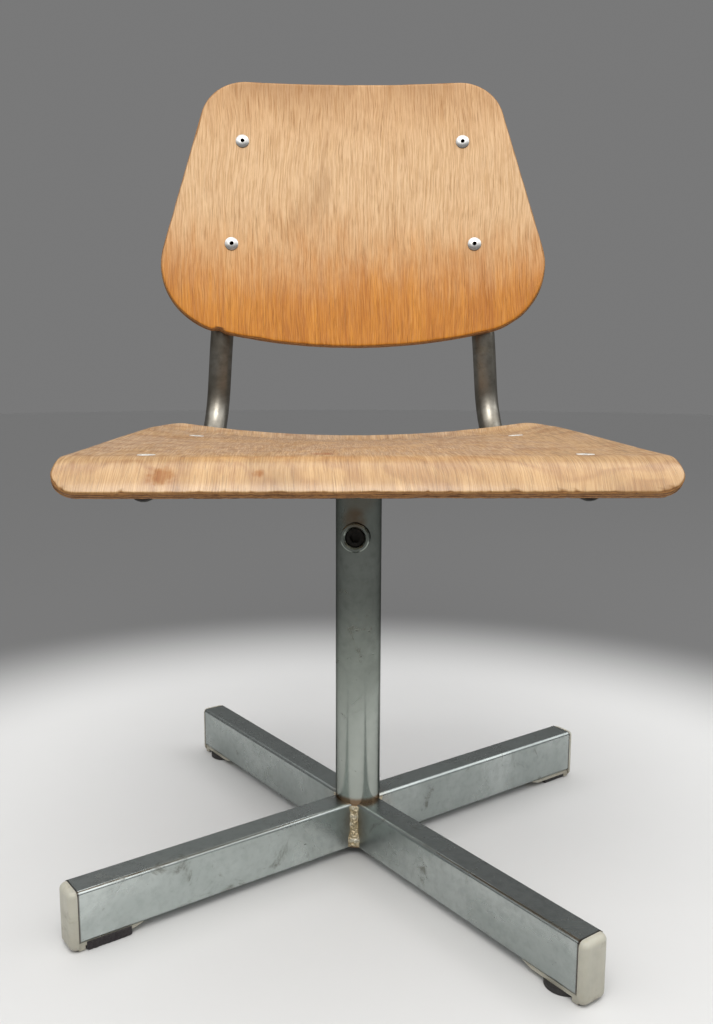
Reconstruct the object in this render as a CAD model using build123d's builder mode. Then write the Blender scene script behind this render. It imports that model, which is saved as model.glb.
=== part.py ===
from build123d import *
import os
from math import asin, atan, cos, radians, sin, sqrt

# Low swivel chair: a moulded plywood seat and back on two bent steel tubes, carried by a
# height-adjustable swivel post in a column with four welded rectangular arms.
# Millimetres. The origin is on the floor, on the column's axis. +Z is up, the sitter faces -Y.

os.makedirs("parts", exist_ok=True)

# ---- driving dimensions: base -------------------------------------------------------------
arm_height = 40.0
arm_width = 24.0
arm_wall = 2.0
arm_corner = 3.0
arm_reach = 257.0           # column axis to the tube's open end
arm_bottom = 7.0            # floor to the underside of the tubes
first_arm_angle = -55.35    # the cross is turned a little from the seat's own axis
arm_names = ("front_right", "rear_right", "rear_left", "front_left")

column_radius = 19.0
column_wall = 2.0
column_top = 311.0
column_rim_radius = 0.5

weld_face = 25.3            # column axis to the face of the vertical weld beads
weld_half_width = 7.5
weld_end_gap = 1.5

# ---- driving dimensions: end caps and floor pads -------------------------------------------
cap_proud = 6.0
cap_side_radius = 5.5
cap_shoulder_radius = 4.5
cap_toe_radius = 5.0
cap_floor_gap = 0.8
cap_heel = 5.0              # length of the deep part of the foot, under the tube's end
cap_lip_thickness = 3.0
cap_lip_tip = 0.6           # thickness the lip tapers to
cap_lip_length = 50.0
cap_lip_taper = 8.0
cap_lip_width = 21.0
cap_spigot_length = 18.0
cap_spigot_wall = 2.5
cap_spigot_clearance = 0.15
cap_spigot_corner = 1.2

pad_heel_gap = 0.5
felt_length = 36.0
felt_width = 25.0           # folded up round both sides of the cap's lip
felt_top = 6.7
felt_corner = 1.5
disc_radius = 14.0
disc_edge_radius = 0.6
disc_offset = 21.0          # disc centre, inwards from the tube's end
rubber_length = 26.0
rubber_width = 20.0
rubber_chamfer = 1.0

# ---- driving dimensions: height adjustment and clamp ----------------------------------------
post_radius = 14.0
post_wall = 2.0
post_length = 214.0
post_top_gap = 0.5          # post bush flange above the column's rim, at the lowest setting
running_clearance = 0.05
sleeve_length = 58.0
foot_bush_length = 30.0
foot_bush_lap = 22.0        # how far the foot bush reaches up round the post
foot_bush_chamfer = 1.0

clamp_angle = first_arm_angle - 45.0
clamp_height = 277.0
boss_radius = 12.0
boss_face = 23.5            # column axis to the outer face of the boss
boss_chamfer = 1.0
boss_countersink = 1.3
screw_radius = 8.0
screw_inner = 15.9
screw_outer = 20.9
screw_chamfer = 0.7
socket_flats = 8.0
socket_depth = 3.5
pad_radius = 6.0
pad_inner = 14.4
pad_outer = 15.9

# ---- driving dimensions: swivel ---------------------------------------------------------------
spindle_radius = 10.0
spindle_length = 156.0
spindle_stand = 1.5         # spindle end above the plate, where it is welded
spindle_tip = 5.0           # spindle end below its lower bush
spindle_chamfer = 1.0
bush_length = 22.0
bush_flange_thickness = 2.0
bush_flange_radius = 18.4
washer_thickness = 2.0
washer_radius = 17.0
washer_gap = 0.3
circlip_radius = 11.4
circlip_thickness = 1.2
circlip_groove_depth = 0.7
circlip_opening = 6.0
circlip_gap = 0.5           # circlip below the lower bush
plate_thickness = 5.0
plate_width = 80.0
plate_length = 130.0
plate_corner = 8.0

# ---- driving dimensions: seat frame ---------------------------------------------------------
tube_radius = 11.0
tube_wall = 1.8
tube_front_y = -144.0
rivet_line_x = 150.4        # tube axis at the front rivets
tube_splay = 0.0532         # sideways run per unit of depth
seat_fall = 0.0227          # drop per unit of depth, towards the back
upright_y = 168.0           # corner where the seat run turns up into the upright
seat_bend_radius = 60.0
back_bend_radius = 180.0
knee_drop = 80.0            # tube axis, from the lower back rivet down to the upper bend's corner
tube_rise = 26.0            # tube axis, from the upper back rivet up to the tube's end
bar_width = 25.0
bar_height = 12.0
bar_wall = 1.5
bar_y = 62.0
bar_weld_radius = 3.0
bar_weld_length = 21.0
hub_weld_leg = 3.5
plug_flange = 2.5
plug_flange_radius = 10.8
plug_depth = 6.5
plug_wall = 2.0
plug_edge_radius = 1.6

# ---- driving dimensions: plywood ---------------------------------------------------------------
ply = 9.0
ply_lift = 0.15             # ply above the tubes' highest line
ply_edge_radius = 2.2

seat_front_y = -180.0
seat_rear_y = 128.0
seat_front_half = 207.4
seat_rear_half = 183.1
seat_side_bulge = 6.3       # sides bow out by this at mid depth
seat_front_corner = 16.0
seat_rear_corner = 28.8
seat_front_z = 356.5        # top of the seat at the front rivets
front_rivet_y = -132.0
rear_rivet_y = 62.0
roll_start_y = -140.6
roll_radius = 46.8
roll_end_angle = 55.5
dish_depth = 8.7            # rear edge: height of the tube line above the middle
dish_half_width = 138.0
kick_radius = 40.0          # the rear edge turns up with the tubes
kick_start_y = 107.5

back_lean = 14.0
back_middle = (0.0, 177.5, 526.0)   # front face of the back, level with the lower rivets
back_radius = 990.0
back_top = 161.0            # outline heights, measured along the back from the lower rivets
back_bottom = -99.5
back_bottom_radius = 640.0
back_top_half = 136.8       # half widths of the outline before its corners are rounded
back_bottom_half = 195.6
back_bottom_corner = 65.0
back_top_corner = 45.0
lower_rivet = (116.3, -1.4)
upper_rivet = (106.4, 100.5)

# ---- driving dimensions: rivets ---------------------------------------------------------------
rivet_head_radius = 6.35
rivet_head_height = 2.2
rivet_shank_radius = 3.2
rivet_hole_radius = 3.3
rivet_bore_radius = 2.0
rivet_bore_depth = 5.0
rivet_tail_radius = 4.8
rivet_tail_height = 4.0
rivet_tail_depth = 12.3     # face of the plywood to the near side of the formed tail
seat_tail_depth = 13.5      # the same under the seat, whose rivets lean in the tube
rivet_tail_chamfer = 1.0
rivet_head_gap = 0.04       # flat under the dome, off the hollow face of the back
dome_shoulder = (3.94, 1.8)
rivet_rim = 0.7
flush_head_height = 1.3
flush_recess_radius = 6.9

# ---- helper sizes: how far cutting shapes run past what they cut ------------------------------
cut_margin = 1.0
slab_margin = 10.0
slab_depth = 100.0
cutter_reach = 80.0
seat_margin = 14.0
grid_step = 8.0             # spacing of the rows that lay out the seat sheet
sheet_tolerance = 0.05

# ---- derived places ------------------------------------------------------------------------
arm_top = arm_bottom + arm_height
arm_middle = arm_bottom + arm_height / 2
column_bore = column_radius - column_wall
post_top = column_top + post_top_gap
post_bottom = post_top - post_length
post_bore = post_radius - post_wall
flange_top = post_top + bush_flange_thickness
washer_bottom = flange_top + washer_gap
plate_bottom = washer_bottom + washer_thickness
plate_top = plate_bottom + plate_thickness
bar_middle = plate_top + bar_height / 2
spindle_top = plate_top + spindle_stand
spindle_bottom = spindle_top - spindle_length
arm_angles = [first_arm_angle + 90.0 * k for k in range(4)]


def heading(angle):
    """Unit vector in the floor plane, at an angle in degrees from +X."""
    return Vector(cos(radians(angle)), sin(radians(angle)), 0)


def floor_frame(angle, height=0.0):
    """Plane at a height, whose own X runs outwards along the given heading."""
    return Plane(origin=(0, 0, height), x_dir=heading(angle), z_dir=(0, 0, 1))


def facing(angle, distance, height):
    """Upright plane that faces outwards, at a distance from the column's axis."""
    centre = heading(angle) * distance + Vector(0, 0, height)
    return Plane(origin=centre, x_dir=heading(angle + 90), z_dir=heading(angle))


def tube_axis(y):
    """Point on the right-hand tube's axis along its straight run under the seat."""
    x = rivet_line_x - tube_splay * (y - front_rivet_y)
    top = seat_front_z - ply - seat_fall * (y - front_rivet_y)
    return Vector(x, y, top - tube_radius)


# ---- base: column and arms -----------------------------------------------------------------
clamp_plane = facing(clamp_angle, 0, clamp_height)

with BuildPart() as column_tube:
    with BuildSketch(Plane.XY.offset(arm_bottom)):
        Circle(column_radius)
        Circle(column_bore, mode=Mode.SUBTRACT)
    extrude(amount=column_top - arm_bottom)
    fillet(column_tube.faces().sort_by(Axis.Z)[-1].edges(), radius=column_rim_radius)
    with BuildSketch(clamp_plane):
        Circle(boss_radius)
    extrude(amount=boss_face, mode=Mode.SUBTRACT)
column_tube.part.label = "column_tube"
export_step(column_tube.part, "parts/column_tube.step")

for place, angle in zip(arm_names, arm_angles):
    with BuildPart() as arm:
        with BuildSketch(facing(angle, 0, arm_middle)):
            RectangleRounded(arm_width, arm_height, arm_corner)
            RectangleRounded(
                arm_width - 2 * arm_wall, arm_height - 2 * arm_wall, arm_corner - arm_wall,
                mode=Mode.SUBTRACT,
            )
        extrude(amount=arm_reach)
        with BuildSketch(Plane.XY):
            Circle(column_radius)
        extrude(amount=column_top, mode=Mode.SUBTRACT)
    arm.part.label = f"arm_{place}"
    export_step(arm.part, f"parts/arm_{place}.step")

# Each bead fills the notch between two arms: its tip is where their side faces would meet.
with BuildPart() as arm_welds:
    notch = arm_width / 2 * sqrt(2)
    for angle in arm_angles:
        with BuildSketch(floor_frame(angle + 45, arm_bottom + weld_end_gap)):
            with BuildLine():
                Line((notch, 0), (notch + weld_half_width, weld_half_width))
                ThreePointArc(
                    (notch + weld_half_width, weld_half_width),
                    (weld_face, 0),
                    (notch + weld_half_width, -weld_half_width),
                )
                Line((notch + weld_half_width, -weld_half_width), (notch, 0))
            make_face()
        extrude(amount=arm_height - 2 * weld_end_gap)
    with BuildSketch(Plane.XY):
        Circle(column_radius)
    extrude(amount=column_top, mode=Mode.SUBTRACT)
arm_welds.part.label = "arm_welds"
export_step(arm_welds.part, "parts/arm_welds.step")

# ---- base: end caps and floor pads -----------------------------------------------------------
cap_height = arm_top - cap_floor_gap
lip_bottom = arm_bottom - cap_lip_thickness
spigot_width = arm_width - 2 * (arm_wall + cap_spigot_clearance)
spigot_height = arm_height - 2 * (arm_wall + cap_spigot_clearance)

for place, angle in zip(arm_names, arm_angles):
    cap_frame = floor_frame(angle)
    with BuildPart(cap_frame) as end_cap:
        with Locations((arm_reach + cap_proud / 2, 0, cap_floor_gap + cap_height / 2)):
            Box(cap_proud, arm_width, cap_height)
        outer = end_cap.faces().sort_by(Axis(cap_frame.origin, cap_frame.x_dir))[-1]
        fillet(outer.edges().filter_by(Axis.Z), radius=cap_side_radius)
        outer = end_cap.faces().sort_by(Axis(cap_frame.origin, cap_frame.x_dir))[-1]
        fillet(outer.edges().sort_by(Axis.Z)[-1], radius=cap_shoulder_radius)
        outer = end_cap.faces().sort_by(Axis(cap_frame.origin, cap_frame.x_dir))[-1]
        fillet(outer.edges().sort_by(Axis.Z)[0], radius=cap_toe_radius)
        with Locations((arm_reach - cap_heel / 2, 0, (cap_floor_gap + arm_bottom) / 2)):
            Box(cap_heel, cap_lip_width, arm_bottom - cap_floor_gap)
        with BuildSketch(facing(angle + 90, -cap_lip_width / 2, 0)):
            # Side view of the lip; the plane's X runs inwards, from the column's axis.
            with BuildLine():
                Polyline(
                    (-arm_reach, lip_bottom),
                    (-arm_reach + cap_lip_length - cap_lip_taper, lip_bottom),
                    (-arm_reach + cap_lip_length, arm_bottom - cap_lip_tip),
                    (-arm_reach + cap_lip_length, arm_bottom),
                    (-arm_reach, arm_bottom),
                    close=True,
                )
            make_face()
        extrude(amount=cap_lip_width)
        with BuildSketch(facing(angle, arm_reach, arm_middle)):
            RectangleRounded(spigot_width, spigot_height, cap_spigot_corner)
            Rectangle(
                spigot_width - 2 * cap_spigot_wall, spigot_height - 2 * cap_spigot_wall,
                mode=Mode.SUBTRACT,
            )
        extrude(amount=-cap_spigot_length)
    end_cap.part.label = f"end_cap_{place}"
    export_step(end_cap.part, f"parts/end_cap_{place}.step")

with BuildPart(floor_frame(arm_angles[3])) as felt_pad:
    felt_middle = arm_reach - cap_heel - pad_heel_gap - felt_length / 2
    with Locations((felt_middle, 0, felt_top / 2)):
        Box(felt_length, felt_width, felt_top)
    fillet(felt_pad.edges().filter_by(Axis.Z), radius=felt_corner)
    with Locations((felt_middle, 0, (lip_bottom + arm_bottom) / 2)):
        Box(felt_length, cap_lip_width, cap_lip_thickness, mode=Mode.SUBTRACT)
felt_pad.part.label = "floor_pad_front_left"
export_step(felt_pad.part, "parts/floor_pad_front_left.step")

with BuildPart(floor_frame(arm_angles[1])) as rubber_pad:
    with Locations((arm_reach - cap_heel - pad_heel_gap - rubber_length / 2, 0, lip_bottom / 2)):
        Box(rubber_length, rubber_width, lip_bottom)
    chamfer(rubber_pad.faces().sort_by(Axis.Z)[0].edges(), length=rubber_chamfer)
rubber_pad.part.label = "floor_pad_rear_right"
export_step(rubber_pad.part, "parts/floor_pad_rear_right.step")

for place, angle in (("front_right", arm_angles[0]), ("rear_left", arm_angles[2])):
    with BuildPart(floor_frame(angle)) as disc_pad:
        with Locations((arm_reach - disc_offset, 0, lip_bottom / 2)):
            Cylinder(disc_radius, lip_bottom)
        fillet(disc_pad.faces().sort_by(Axis.Z)[0].edges(), radius=disc_edge_radius)
    disc_pad.part.label = f"floor_pad_{place}"
    export_step(disc_pad.part, f"parts/floor_pad_{place}.step")

# ---- base: clamp boss and guide sleeve -----------------------------------------------------
with BuildPart() as clamp_boss:
    with BuildSketch(clamp_plane):
        Circle(boss_radius)
        Circle(screw_radius + running_clearance, mode=Mode.SUBTRACT)
    extrude(amount=boss_face)
    face = clamp_boss.faces().sort_by(Axis((0, 0, clamp_height), heading(clamp_angle)))[-1]
    chamfer(face.outer_wire().edges(), length=boss_chamfer)
    face = clamp_boss.faces().sort_by(Axis((0, 0, clamp_height), heading(clamp_angle)))[-1]
    chamfer(face.inner_wires()[0].edges(), length=boss_countersink)
    with BuildSketch(Plane.XY):
        Circle(column_bore)
    extrude(amount=column_top, mode=Mode.SUBTRACT)
clamp_boss.part.label = "clamp_boss"
export_step(clamp_boss.part, "parts/clamp_boss.step")

with BuildPart() as guide_sleeve:
    with BuildSketch(Plane.XY.offset(column_top - sleeve_length)):
        Circle(column_bore)
        Circle(post_radius + running_clearance, mode=Mode.SUBTRACT)
    extrude(amount=sleeve_length)
    with BuildSketch(clamp_plane):
        Circle(screw_radius + running_clearance)
    extrude(amount=column_radius, mode=Mode.SUBTRACT)
guide_sleeve.part.label = "guide_sleeve"
export_step(guide_sleeve.part, "parts/guide_sleeve.step")

# ---- clamp: pressure pad and set screw --------------------------------------------------------
with BuildPart() as clamp_pad:
    with BuildSketch(facing(clamp_angle, pad_inner, clamp_height)):
        Circle(pad_radius)
    extrude(amount=pad_outer - pad_inner)
clamp_pad.part.label = "clamp_pad"
export_step(clamp_pad.part, "parts/clamp_pad.step")

with BuildPart() as clamp_screw:
    with BuildSketch(facing(clamp_angle, screw_inner, clamp_height)):
        Circle(screw_radius)
    extrude(amount=screw_outer - screw_inner)
    screw_axis = Axis((0, 0, clamp_height), heading(clamp_angle))
    for end in (0, -1):
        chamfer(clamp_screw.faces().sort_by(screw_axis)[end].edges(), length=screw_chamfer)
    with BuildSketch(facing(clamp_angle, screw_outer, clamp_height)):
        RegularPolygon(socket_flats / 2, 6, major_radius=False)
    extrude(amount=-socket_depth, mode=Mode.SUBTRACT)
clamp_screw.part.label = "clamp_screw"
export_step(clamp_screw.part, "parts/clamp_screw.step")

# ---- post ------------------------------------------------------------------------------------
with BuildPart() as post_tube:
    with BuildSketch(Plane.XY.offset(post_bottom)):
        Circle(post_radius)
        Circle(post_bore, mode=Mode.SUBTRACT)
    extrude(amount=post_length)
post_tube.part.label = "post_tube"
export_step(post_tube.part, "parts/post_tube.step")

# A stepped plastic bush: the post stands in its counterbore, and its skirt slides in the column.
with BuildPart() as post_foot_bush:
    with BuildSketch(Plane.XY.offset(post_bottom + foot_bush_lap - foot_bush_length)):
        Circle(column_bore - running_clearance)
    extrude(amount=foot_bush_length)
    with BuildSketch(Plane.XY.offset(post_bottom)):
        Circle(post_radius)
    extrude(amount=foot_bush_lap, mode=Mode.SUBTRACT)
    with BuildSketch(Plane.XY.offset(post_bottom)):
        Circle(post_bore)
    extrude(amount=foot_bush_lap - foot_bush_length, mode=Mode.SUBTRACT)
    foot = post_foot_bush.faces().sort_by(Axis.Z)[0]
    chamfer(foot.outer_wire().edges(), length=foot_bush_chamfer)
post_foot_bush.part.label = "post_foot_bush"
export_step(post_foot_bush.part, "parts/post_foot_bush.step")

lower_bush_top = spindle_bottom + spindle_tip + bush_length
for place, top, flanged in (("upper", post_top, True), ("lower", lower_bush_top, False)):
    with BuildPart() as spindle_bush:
        with BuildSketch(Plane.XY.offset(top)):
            Circle(post_bore)
        extrude(amount=-bush_length)
        if flanged:
            with BuildSketch(Plane.XY.offset(top)):
                Circle(bush_flange_radius)
            extrude(amount=bush_flange_thickness)
        with BuildSketch(Plane.XY.offset(top + bush_flange_thickness)):
            Circle(spindle_radius + running_clearance)
        extrude(amount=-bush_length - bush_flange_thickness, mode=Mode.SUBTRACT)
    spindle_bush.part.label = f"spindle_bush_{place}"
    export_step(spindle_bush.part, f"parts/spindle_bush_{place}.step")

# ---- swivel ------------------------------------------------------------------------------------
groove_top = lower_bush_top - bush_length - circlip_gap
groove_bottom = groove_top - circlip_thickness
groove_radius = spindle_radius - circlip_groove_depth

with BuildPart() as swivel_spindle:
    with BuildSketch(Plane.XY.offset(spindle_bottom)):
        Circle(spindle_radius)
    extrude(amount=spindle_length)
    chamfer(swivel_spindle.faces().sort_by(Axis.Z)[0].edges(), length=spindle_chamfer)
    with BuildSketch(Plane.XY.offset(groove_bottom)):
        Circle(spindle_radius)
        Circle(groove_radius, mode=Mode.SUBTRACT)
    extrude(amount=circlip_thickness, mode=Mode.SUBTRACT)
swivel_spindle.part.label = "swivel_spindle"
export_step(swivel_spindle.part, "parts/swivel_spindle.step")

with BuildPart() as spindle_circlip:
    with BuildSketch(Plane.XY.offset(groove_bottom)):
        Circle(circlip_radius)
        Circle(groove_radius, mode=Mode.SUBTRACT)
        with Locations((circlip_radius, 0)):
            Rectangle(2 * circlip_radius, circlip_opening, mode=Mode.SUBTRACT)
    extrude(amount=circlip_thickness)
spindle_circlip.part.label = "spindle_circlip"
export_step(spindle_circlip.part, "parts/spindle_circlip.step")

with BuildPart() as thrust_washer:
    with BuildSketch(Plane.XY.offset(washer_bottom)):
        Circle(washer_radius)
        Circle(spindle_radius, mode=Mode.SUBTRACT)
    extrude(amount=washer_thickness)
thrust_washer.part.label = "thrust_washer"
export_step(thrust_washer.part, "parts/thrust_washer.step")

with BuildPart() as swivel_plate:
    with BuildSketch(Plane.XY.offset(plate_bottom)):
        RectangleRounded(plate_width, plate_length, plate_corner)
        Circle(spindle_radius, mode=Mode.SUBTRACT)
    extrude(amount=plate_thickness)
swivel_plate.part.label = "swivel_plate"
export_step(swivel_plate.part, "parts/swivel_plate.step")

# ---- seat frame: bent side tubes, cross bars, plugs --------------------------------------------
back_frame = Plane(
    origin=back_middle,
    x_dir=(1, 0, 0),
    z_dir=(0, -cos(radians(back_lean)), sin(radians(back_lean))),
)


def back_face(x, height):
    """Plane on the back's hollow front face, whose Z points out of it at the sitter."""
    turn = asin(x / back_radius)
    depth = back_radius - sqrt(back_radius**2 - x**2)
    origin = back_frame.from_local_coords(Vector(x, height, depth))
    normal = back_frame.from_local_coords(Vector(x - sin(turn), height, depth + cos(turn))) - origin
    return Plane(origin=origin, x_dir=back_frame.y_dir, z_dir=normal)


def seat_face(y):
    """Plane on the seat's top face above the right-hand tube, whose Z points up out of it."""
    x = tube_axis(y).X
    rise = 2 * dish_depth * dish_share(y) * x / dish_half_width**2
    origin = Vector(x, y, seat_height(x, y))
    return Plane(origin=origin, x_dir=(0, -1, -seat_fall), z_dir=(-rise, seat_fall, 1))


def mirror_plane(plane):
    """The same place on the other side of the chair, with Z still pointing outwards."""
    origin, normal, across = plane.origin, plane.z_dir, plane.x_dir
    return Plane(
        origin=(-origin.X, origin.Y, origin.Z),
        x_dir=(-across.X, across.Y, across.Z),
        z_dir=(-normal.X, normal.Y, normal.Z),
    )


def dish_share(y):
    """Share of the full dish at a depth: none in the front roll, all of it at the rear edge."""
    return max(0.0, (y - roll_start_y) / (seat_rear_y - roll_start_y)) ** 2


def seat_height(x, y):
    """Height of the seat's top face, without the front roll."""
    height = seat_front_z + ply_lift - seat_fall * (y - front_rivet_y)
    height += dish_depth * dish_share(y) * ((x / dish_half_width) ** 2 - 1)
    if y > kick_start_y:
        height += kick_radius - sqrt(kick_radius**2 - (y - kick_start_y) ** 2)
    return height


def behind_back(x, height):
    """Point on the side tube's axis, square behind a point on the back's front face."""
    face = back_face(x, height)
    return face.origin - face.z_dir * (ply + tube_radius)


tube_start = tube_axis(tube_front_y)
tube_corner = tube_axis(upright_y)
run_direction = (tube_corner - tube_start).normalized()
top_direction = (behind_back(*upper_rivet) - behind_back(*lower_rivet)).normalized()
knee = behind_back(*lower_rivet) - top_direction * knee_drop
tube_end = behind_back(*upper_rivet) + top_direction * tube_rise

for place in ("right", "left"):
    with BuildPart() as side_tube:
        with BuildLine() as path:
            FilletPolyline(
                tube_start, tube_corner, knee, tube_end,
                radius=(seat_bend_radius, back_bend_radius),
            )
        with BuildSketch(Plane(origin=tube_start, z_dir=run_direction)):
            Circle(tube_radius)
            Circle(tube_radius - tube_wall, mode=Mode.SUBTRACT)
        sweep()
        for y in (front_rivet_y, rear_rivet_y):
            with BuildSketch(seat_face(y)):
                Circle(rivet_hole_radius)
            extrude(amount=-ply - tube_radius, mode=Mode.SUBTRACT)
        for x, height in (lower_rivet, upper_rivet):
            with BuildSketch(back_face(x, height)):
                Circle(rivet_hole_radius)
            extrude(amount=-ply - tube_radius, mode=Mode.SUBTRACT)
        if place == "left":
            mirror(about=Plane.YZ, mode=Mode.REPLACE)
    side_tube.part.label = f"side_tube_{place}"
    export_step(side_tube.part, f"parts/side_tube_{place}.step")

for place, y in (("front", -bar_y), ("rear", bar_y)):
    with BuildPart() as cross_bar:
        with BuildSketch(Plane(origin=(0, y, bar_middle), x_dir=(0, 1, 0), z_dir=(1, 0, 0))):
            Rectangle(bar_width, bar_height)
            Rectangle(bar_width - 2 * bar_wall, bar_height - 2 * bar_wall, mode=Mode.SUBTRACT)
        extrude(amount=tube_axis(y).X, both=True)
        for side in (1, -1):
            axis_start = Vector(side * tube_start.X, tube_start.Y, tube_start.Z)
            axis_direction = Vector(side * run_direction.X, run_direction.Y, run_direction.Z)
            with BuildSketch(Plane(origin=axis_start, z_dir=axis_direction)):
                Circle(tube_radius)
            extrude(amount=upright_y - tube_front_y, mode=Mode.SUBTRACT)
    cross_bar.part.label = f"cross_bar_{place}"
    export_step(cross_bar.part, f"parts/cross_bar_{place}.step")

for side, sign in (("right", 1), ("left", -1)):
    for end, point, direction in (
        ("front", tube_start, run_direction * -1),
        ("top", tube_end, top_direction),
    ):
        origin = Vector(sign * point.X, point.Y, point.Z)
        outward = Vector(sign * direction.X, direction.Y, direction.Z)
        with BuildPart() as tube_plug:
            with BuildSketch(Plane(origin=origin, z_dir=outward)):
                Circle(plug_flange_radius)
            extrude(amount=plug_flange)
            rim = tube_plug.faces().sort_by(Axis(origin, outward))[-1].edges()
            fillet(rim, radius=plug_edge_radius)
            with BuildSketch(Plane(origin=origin, z_dir=outward)):
                Circle(tube_radius - tube_wall)
                Circle(tube_radius - tube_wall - plug_wall, mode=Mode.SUBTRACT)
            extrude(amount=-plug_depth)
        tube_plug.part.label = f"tube_plug_{end}_{side}"
        export_step(tube_plug.part, f"parts/tube_plug_{end}_{side}.step")

# ---- seat frame: weld beads ------------------------------------------------------------------
# One bead along each end of each cross bar, where its top face meets the side tube, and a
# fillet round the spindle's end on top of the swivel plate.
with BuildPart() as frame_welds:
    for y in (-bar_y, bar_y):
        centre = tube_axis(y)
        bead_start = (0, y + bar_weld_length / 2, plate_top + bar_height)
        with BuildSketch(Plane(origin=bead_start, x_dir=(1, 0, 0), z_dir=(0, -1, 0))):
            for sign in (1, -1):
                with Locations((sign * (centre.X - tube_radius), 0)):
                    Circle(bar_weld_radius)
        extrude(amount=bar_weld_length)
    for sign in (1, -1):
        axis_start = Vector(sign * tube_start.X, tube_start.Y, tube_start.Z)
        axis_direction = Vector(sign * run_direction.X, run_direction.Y, run_direction.Z)
        with BuildSketch(Plane(origin=axis_start, z_dir=axis_direction)):
            Circle(tube_radius)
        extrude(amount=upright_y - tube_front_y, mode=Mode.SUBTRACT)
    with BuildSketch(Plane.XY.offset(plate_top)):
        Rectangle(2 * rivet_line_x, 2 * bar_y + bar_width)
    extrude(amount=bar_height, mode=Mode.SUBTRACT)
    with BuildSketch(Plane.XZ):
        with BuildLine():
            Polyline(
                (spindle_radius, plate_top),
                (spindle_radius + hub_weld_leg, plate_top),
                (spindle_radius, spindle_top),
                close=True,
            )
        make_face()
    revolve(axis=Axis.Z)
frame_welds.part.label = "frame_welds"
export_step(frame_welds.part, "parts/frame_welds.step")

# ---- plywood seat -------------------------------------------------------------------------------
# The sheet's top face is laid out in rows across the seat. The first rows follow the front
# roll, an arc that leaves the seat's slope tangentially; the rest follow seat_height.
start_angle = -atan(seat_fall)
end_angle = radians(roll_end_angle)
roll_rows = int(roll_radius * (end_angle - start_angle) / grid_step) + 2
flat_rows = int((seat_rear_y + seat_margin - roll_start_y) / grid_step) + 1
half_columns = int((seat_front_half + seat_margin) / grid_step)
columns = [grid_step * k for k in range(-half_columns, half_columns + 1)]
seat_mid_half = (seat_front_half + seat_rear_half) / 2 + seat_side_bulge
roll_top = seat_height(0, roll_start_y) + roll_radius * -cos(start_angle)

rows = []
for k in range(roll_rows, 0, -1):
    angle = start_angle + (end_angle - start_angle) * k / roll_rows
    row_y = roll_start_y - roll_radius * (sin(angle) - sin(start_angle))
    rows.append([Vector(x, row_y, roll_top + roll_radius * cos(angle)) for x in columns])
for k in range(flat_rows + 1):
    row_y = roll_start_y + (seat_rear_y + seat_margin - roll_start_y) * k / flat_rows
    rows.append([Vector(x, row_y, seat_height(x, row_y)) for x in columns])
seat_sheet = Face.make_surface_from_array_of_points(
    rows, tol=sheet_tolerance, min_deg=3, max_deg=3
)

with BuildPart() as seat_panel:
    with BuildSketch(Plane.XY.offset(seat_front_z)) as seat_outline:
        with BuildLine():
            Line((-seat_front_half, seat_front_y), (seat_front_half, seat_front_y))
            Line((-seat_rear_half, seat_rear_y), (seat_rear_half, seat_rear_y))
            for side in (1, -1):
                ThreePointArc(
                    (side * seat_front_half, seat_front_y),
                    (side * seat_mid_half, (seat_front_y + seat_rear_y) / 2),
                    (side * seat_rear_half, seat_rear_y),
                )
        make_face()
        fillet(seat_outline.vertices().group_by(Axis.Y)[0], radius=seat_front_corner)
        fillet(seat_outline.vertices().group_by(Axis.Y)[-1], radius=seat_rear_corner)
    extrude(amount=cutter_reach, both=True)
    thicken(seat_sheet, amount=-ply, normal_override=(0, 0, 1), mode=Mode.INTERSECT)
    for y in (front_rivet_y, rear_rivet_y):
        for face in (seat_face(y), mirror_plane(seat_face(y))):
            with BuildSketch(face.offset(cut_margin)):
                Circle(rivet_hole_radius)
            extrude(amount=-ply - 2 * cut_margin, mode=Mode.SUBTRACT)
            with BuildSketch(face.offset(cut_margin)):
                Circle(flush_recess_radius)
            extrude(amount=-flush_head_height - cut_margin, mode=Mode.SUBTRACT)
seat_panel.part.label = "seat_panel"
export_step(seat_panel.part, "parts/seat_panel.step")

# ---- plywood back -------------------------------------------------------------------------------
# A sheet bent round an upright cylinder: hollow towards the sitter, cut to the outline square on.
back_slice = Plane(
    origin=back_frame.from_local_coords(Vector(0, back_bottom - slab_margin, 0)),
    x_dir=(1, 0, 0),
    z_dir=back_frame.y_dir,
)
corner_height = back_bottom + back_bottom_radius
corner_height -= sqrt(back_bottom_radius**2 - back_bottom_half**2)

with BuildPart() as back_panel:
    with BuildSketch(back_slice):
        with Locations((0, -back_radius)):
            Circle(back_radius + ply)
            Circle(back_radius, mode=Mode.SUBTRACT)
        Rectangle(2 * back_bottom_half, slab_depth, mode=Mode.INTERSECT)
    extrude(amount=back_top - back_bottom + 2 * slab_margin)
    with BuildSketch(back_frame) as outline:
        with BuildLine():
            Line((back_bottom_half, corner_height), (back_top_half, back_top))
            Line((back_top_half, back_top), (-back_top_half, back_top))
            Line((-back_top_half, back_top), (-back_bottom_half, corner_height))
            ThreePointArc(
                (-back_bottom_half, corner_height), (0, back_bottom), (back_bottom_half, corner_height)
            )
        make_face()
        fillet(outline.vertices().group_by(Axis.Y)[-1], radius=back_top_corner)
        fillet(outline.vertices().group_by(Axis.Y)[0], radius=back_bottom_corner)
    extrude(amount=cutter_reach, both=True, mode=Mode.INTERSECT)
    fillet(back_panel.edges(), radius=ply_edge_radius)
    for spot in (lower_rivet, upper_rivet):
        for face in (back_face(*spot), mirror_plane(back_face(*spot))):
            with BuildSketch(face.offset(cut_margin)):
                Circle(rivet_hole_radius)
            extrude(amount=-ply - 2 * cut_margin, mode=Mode.SUBTRACT)
back_panel.part.label = "back_panel"
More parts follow.
